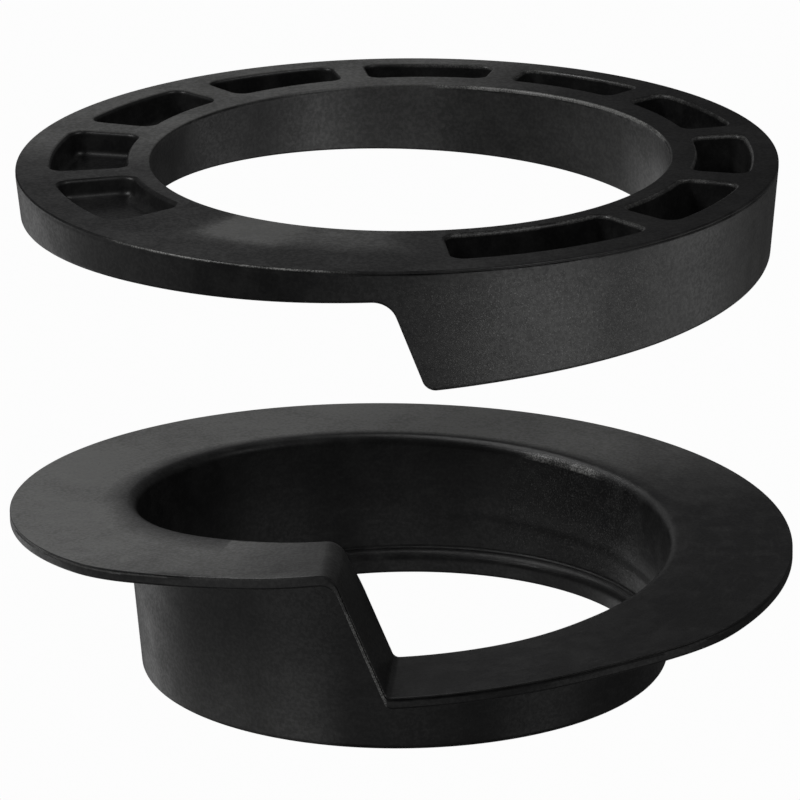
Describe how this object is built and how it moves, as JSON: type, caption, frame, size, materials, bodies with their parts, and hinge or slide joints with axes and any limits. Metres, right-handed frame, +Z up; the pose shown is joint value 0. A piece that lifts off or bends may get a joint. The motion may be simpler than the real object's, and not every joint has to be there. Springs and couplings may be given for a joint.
{
  "type": "coil spring seat isolator pair",
  "caption": "Moulded black rubber seats for the ends of a coil spring: a pocketed ring with a spiral underside over a collar with a spiral flange, each with a step that stops the wire.",
  "frame": {"origin": "under the middle of the outline seen from above, 1.6 mm behind the common axis of the two seats, at the flat base of the lower seat's collar", "axes": "+Z up along the common axis; -Y towards the steps at the front; +X to the right of the steps"},
  "size_m": [0.1499, 0.1468, 0.1006],
  "materials": {
    "black_rubber": "satin black moulded rubber with a fine, slightly uneven skin"
  },
  "bodies": {
    "lower_seat": {"lower_spring_seat": "black_rubber"},
    "upper_seat": {"upper_spring_seat": "black_rubber"}
  },
  "joints": [
    {"name": "seat_spacing", "type": "slide", "parent": "lower_seat", "child": "upper_seat", "axis": [0, 0, 1], "range_m": [-0.05, 0.15]}
  ]
}
